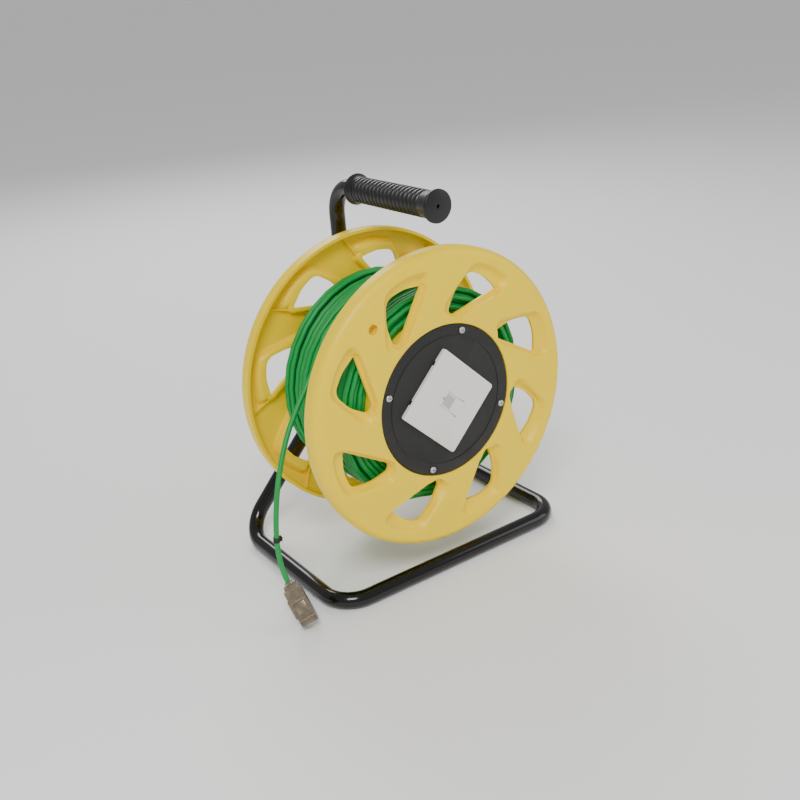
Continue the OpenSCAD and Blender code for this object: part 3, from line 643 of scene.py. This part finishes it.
def flange_skin():
    """The whole outer skin: eight sectors, the rim that curves over and the step down to the disc's seat."""
    bm = bmesh.new()
    flange_sector(bm)
    sector = bm.verts[:] + bm.edges[:] + bm.faces[:]
    for k in range(1, 8):
        copy = bmesh.ops.duplicate(bm, geom=sector)["geom"]
        bmesh.ops.rotate(bm, cent=(0, 0, 0), matrix=Matrix.Rotation(math.radians(SECTOR * k), 3, "Z"),
                         verts=[g for g in copy if isinstance(g, bmesh.types.BMVert)])
    bmesh.ops.remove_doubles(bm, verts=bm.verts, dist=0.01)
    open_edges = [e for e in bm.edges if e.is_boundary]
    radius = lambda e: (e.verts[0].co.xy.length + e.verts[1].co.xy.length) / 2
    outer = [e for e in open_edges if radius(e) > FLANGE_OUTER - 0.5]
    inner = [e for e in open_edges if radius(e) < FLANGE_INNER + 0.5]
    rim = [(137.0, 70.0)] + [(137 + 8 * math.sin(math.radians(a)), 62 + 8 * math.cos(math.radians(a)))
                             for a in (15, 30, 45, 60, 75, 90)] + [(144.9, 57.5), (144.6, 53.0)]
    seat = [(74.9, 69.8), (74.3, 69.2), (74.3, 65.7), (74.1, 65.5), (68.0, 65.5), (60.0, 65.5)]
    for edges, path in ((outer, rim), (inner, seat)):
        for r, z in path:
            new = bmesh.ops.extrude_edge_only(bm, edges=edges)["geom"]
            edges = [g for g in new if isinstance(g, bmesh.types.BMEdge)]
            for v in (g for g in new if isinstance(g, bmesh.types.BMVert)):
                v.co = (*(v.co.xy.normalized() * r), z)
    bmesh.ops.recalc_face_normals(bm, faces=bm.faces)
    if sum(f.normal.z * f.calc_area() for f in bm.faces) < 0:
        bmesh.ops.reverse_faces(bm, faces=bm.faces)
    return bm


def bowed_rib(bm, turn):
    """A thin curved rib on the inner side of one spoke, from the rim to the foot of the drum."""
    start = Vector((140.5, 0))
    finish = Matrix.Rotation(math.radians(15), 2) @ Vector((80.4, 0))
    along = finish - start
    side = Vector((-along.y, along.x)).normalized()
    bow = 150.0
    middle = (start + finish) / 2 + side * math.sqrt(bow * bow - (along.length / 2) ** 2)
    a0 = math.atan2(start.y - middle.y, start.x - middle.x)
    a1 = math.atan2(finish.y - middle.y, finish.x - middle.x)
    steps = 16
    rows = []
    for k in range(steps + 1):
        a = a0 + (a1 - a0) * k / steps
        low = 62.6 + 2.2 * abs(2 * k / steps - 1) ** 2
        row = [(bow - 0.9, 67.6), (bow - 0.6, low), (bow + 0.6, low), (bow + 0.9, 67.6)]
        rows.append([bm.verts.new((middle.x + r * math.cos(a), middle.y + r * math.sin(a), z))
                     for r, z in row])
    for a, b in zip(rows, rows[1:]):
        for i in range(4):
            bm.faces.new((a[i], b[i], b[(i + 1) % 4], a[(i + 1) % 4]))
    bm.faces.new(rows[0])
    bm.faces.new(reversed(rows[-1]))
    verts = [v for row in rows for v in row]
    bmesh.ops.rotate(bm, cent=(0, 0, 0), matrix=Matrix.Rotation(math.radians(turn), 3, "Z"), verts=verts)
    bmesh.ops.recalc_face_normals(bm, faces=list({f for v in verts for f in v.link_faces}))


CRANK_R, CRANK_ANGLE, CRANK_BORE = 117.0, 121.3, 4.75


def crank_cup():
    """The socket for a turning knob: a closed cup behind the hole."""
    outline = [(0.0, 62.0), (CRANK_BORE, 62.0), (CRANK_BORE, 68.4), (7.2, 68.4), (7.2, 59.6), (6.6, 59.0),
               (0.0, 59.0)]
    bm = bmesh.new()
    chain = [bm.verts.new((r, 0, z)) for r, z in outline]
    edges = [bm.edges.new((a, b)) for a, b in zip(chain, chain[1:])]
    bmesh.ops.spin(bm, geom=chain + edges, cent=(0, 0, 0), axis=(0, 0, 1), angle=math.tau, steps=40,
                   use_merge=True)
    bmesh.ops.remove_doubles(bm, verts=bm.verts, dist=1e-3)
    at = Matrix.Rotation(math.radians(CRANK_ANGLE), 4, "Z") @ Matrix.Translation((CRANK_R, 0, 0))
    bmesh.ops.transform(bm, matrix=at, verts=bm.verts)
    bmesh.ops.recalc_face_normals(bm, faces=bm.faces)
    return bm


def applied(piece):
    """Bakes the piece's modifiers into its mesh."""
    depsgraph = bpy.context.evaluated_depsgraph_get()
    mesh = bpy.data.meshes.new_from_object(piece.evaluated_get(depsgraph))
    piece.modifiers.clear()
    piece.data = mesh


def flange(name, node, place, phase):
    turned = place @ Matrix.Rotation(math.radians(phase), 4, "Z")
    piece = finish_piece(name, flange_skin(), YELLOW, "spool", [node], turned)
    wall = piece.modifiers.new("wall", "SOLIDIFY")
    wall.thickness = SHELL * MM
    wall.offset = -1
    cutter_bm = bmesh.new()
    at = turned @ Matrix.Rotation(math.radians(CRANK_ANGLE), 4, "Z") @ Matrix.Translation((CRANK_R, 0, 70))
    bmesh.ops.create_cone(cutter_bm, cap_ends=True, segments=40, radius1=CRANK_BORE, radius2=CRANK_BORE,
                          depth=12, matrix=at)
    cutter_mesh = bpy.data.meshes.new("cutter")
    cutter_bm.to_mesh(cutter_mesh)
    cutter_bm.free()
    cutter = bpy.data.objects.new("cutter", cutter_mesh)
    bpy.context.scene.collection.objects.link(cutter)
    hole = piece.modifiers.new("hole", "BOOLEAN")
    hole.object = cutter
    hole.solver = "FAST"
    applied(piece)
    bpy.data.objects.remove(cutter)
    extra = crank_cup()
    for k in range(8):
        bowed_rib(extra, 37 + SECTOR * k)
    bmesh.ops.transform(extra, matrix=turned, verts=extra.verts)
    extra.from_mesh(piece.data)
    extra.to_mesh(piece.data)
    extra.free()
    piece.data.shade_smooth()
    piece.data.set_sharp_from_angle(angle=math.radians(42))


flange("front_flange_moulding", "front_flange", spool_frame, 8.5)
flange("rear_flange_moulding", "rear_flange", rear_frame, 1.2)


# ---------- stand ----------

TUBE_R = 8.0
BEND_R = 30.0
HUB = Vector((0, 80.5, 171))
LUG_T = 3.5
LUG_HALF = 12.0
TUBE_STOP = 42.0


def lug(bm, foot, back_y):
    """Flat lug at the end of a leg, welded into the tube, rounded round the axle."""
    direction = Vector((HUB.x - foot.x, 0, HUB.z - foot.z)).normalized()
    side = Vector((direction.z, 0, -direction.x))
    start = HUB - direction * (TUBE_STOP + 12)
    outline = [start + side * LUG_HALF, start - side * LUG_HALF]
    for k in range(21):
        a = math.pi * k / 20
        outline.append(HUB - side * LUG_HALF * math.cos(a) + direction * LUG_HALF * math.sin(a))
    face = bm.faces.new([bm.verts.new((p.x, back_y, p.z)) for p in outline])
    new = bmesh.ops.extrude_face_region(bm, geom=[face])["geom"]
    bmesh.ops.translate(bm, vec=(0, -LUG_T, 0), verts=[g for g in new if isinstance(g, bmesh.types.BMVert)])


def stand():
    corners = [Vector((x, y, TUBE_R)) for x, y in ((-135, 96.7), (-135, -94.5), (135, -94.5), (135, 96.7))]
    ends = []
    for foot in (corners[0], corners[-1]):
        leg = HUB - foot
        ends.append(foot + leg * (1 - TUBE_STOP / leg.length))
    bm = bmesh.new()
    sweep(bm, fold([ends[0]] + corners + [ends[1]], BEND_R), TUBE_R)
    lug(bm, corners[0], 80.5)
    lug(bm, corners[-1], 84.0)
    bmesh.ops.recalc_face_normals(bm, faces=bm.faces)
    base = finish_piece("bent_base", bm, ENAMEL, "stand", ["base_tube"], stand_frame)
    soften(base, 0.4, 2, 50)
    bm = bmesh.new()
    sweep(bm, fold([Vector((0, 69, 157)), Vector((0, 69, 361)), Vector((0, -95, 361))], BEND_R), TUBE_R)
    handle = finish_piece("bent_handle", bm, ENAMEL, "stand", ["handle_tube"], stand_frame)
    soften(handle, 0.4, 2, 50)


def grip():
    """Ribbed grip, drawn from its rear collar forwards."""
    body, collar, length, ribs = 12.5, 15.0, 129.5, 17
    first, last = 9.0, length - 17
    pitch = (last - first) / ribs
    line = [(TUBE_R + 0.05, 0.0), (collar - 1.2, 0.0), (collar - 0.4, 0.3), (collar, 1.1), (collar, 2.0),
            (collar - 0.5, 2.7), (body + 1.0, 4.4), (body + 0.1, 6.2), (body - 0.2, first - 0.6)]
    for k in range(ribs):
        base = first + k * pitch
        for t, drop in ((0.0, 1.5), (0.07, 1.35), (0.16, 0.55), (0.3, 0.1), (0.5, 0.0), (0.7, 0.1),
                        (0.84, 0.55), (0.93, 1.35)):
            line.append((body - drop, base + pitch * t))
    line += [(body - 0.6, last + 0.5), (body - 0.2, last + 1.4), (body - 0.1, length - 8),
             (body + 0.5, length - 5.2), (collar - 0.8, length - 3.4), (collar, length - 2.5),
             (collar, length - 0.8), (collar - 0.35, length - 0.25), (collar - 1.0, length), (1.9, length),
             (1.5, length - 0.4), (1.5, length - 4), (TUBE_R + 0.05, length - 4)]
    place = stand_frame @ Matrix.Translation((0, 28.5, 361)) @ Matrix.Rotation(math.radians(90), 4, "X")
    finish_piece("ribbed_grip", spun(line, 64), VINYL, "stand", ["handle_grip"], place, 45)


stand()
grip()


# ---------- what stays as CAD made it, with its edges softened or its material set ----------

# Node, material, body, slot and the width of its edge rounding in millimetres
SOFTENED = [("carrier_disc", DISC, "spool", "disc_black", 0.25),
            ("outlet_cover", WHITE, "spool", "cover_white", 0.3),
            ("dust_flap", WHITE, "flap", "cover_white", 0.15),
            ("bearing_disc", DISC, "spool", "disc_black", 0.3),
            ("axle_saddle", ENAMEL, "stand", "stand_black", 0.3),
            ("axle_nut", STEEL, "stand", "steel", 0.2),
            ("carrier_screws", STEEL, "spool", "steel", 0.12),
            ("bearing_disc_screws", STEEL, "spool", "steel", 0.12)]
PAINTED = [(STEEL, ["axle", "axle_thrust_washer", "axle_end_washer", "axle_circlip", "axle_rear_washer",
                    "front_flange_screws", "rear_flange_screws", "outlet_support", "outlet_screws",
                    "flap_pin", "flap_spring"]),
           (ZINC, ["outlet_jack", "outlet_jack_cap", "tail_jack_cap", "tail_jack_clip"]),
           (GOLD, ["outlet_jack_contacts", "tail_jack_contacts"]),
           (BUSH, ["rear_bush", "front_bush"]),
           (RUBBER, ["cable_band", "cable_grommet"]),
           (CLEAR, ["flap_window"]),
           (GREEN, ["inner_lead"]),
           (YELLOW, ["drum_barrel"])]

for row in SOFTENED:
    softened_copy(*row)
for material, names in PAINTED:
    for name in names:
        paint(name, material)


# ---------- floor and light ----------

def studio():
    floor_material = blank("pale_floor", "#FFFFFF", 0.8)[0]
    bm = bmesh.new()
    bmesh.ops.create_grid(bm, x_segments=1, y_segments=1, size=40)
    mesh = bpy.data.meshes.new("floor")
    bm.to_mesh(mesh)
    bm.free()
    mesh.materials.append(floor_material)
    floor = bpy.data.objects.new("floor", mesh)
    bpy.context.scene.collection.objects.link(floor)
    world = bpy.data.worlds.new("studio")
    world.use_nodes = True
    world.node_tree.nodes["Background"].inputs["Color"].default_value = (1, 1, 1, 1)
    world.node_tree.nodes["Background"].inputs["Strength"].default_value = 0.5
    bpy.context.scene.world = world
    target = Vector((0, 0, 0.17))
    for name, at, size, power in (("key", (-1.0, -1.3, 1.8), 0.8, 34), ("fill", (1.6, -1.2, 0.9), 1.2, 8),
                                  ("back", (0.6, 1.6, 1.5), 1.0, 20)):
        data = bpy.data.lights.new(name, "AREA")
        data.shape = "SQUARE"
        data.size = size
        data.energy = power
        lamp = bpy.data.objects.new(name, data)
        lamp.location = at
        lamp.rotation_euler = (target - Vector(at)).to_track_quat("-Z", "Y").to_euler()
        bpy.context.scene.collection.objects.link(lamp)


studio()
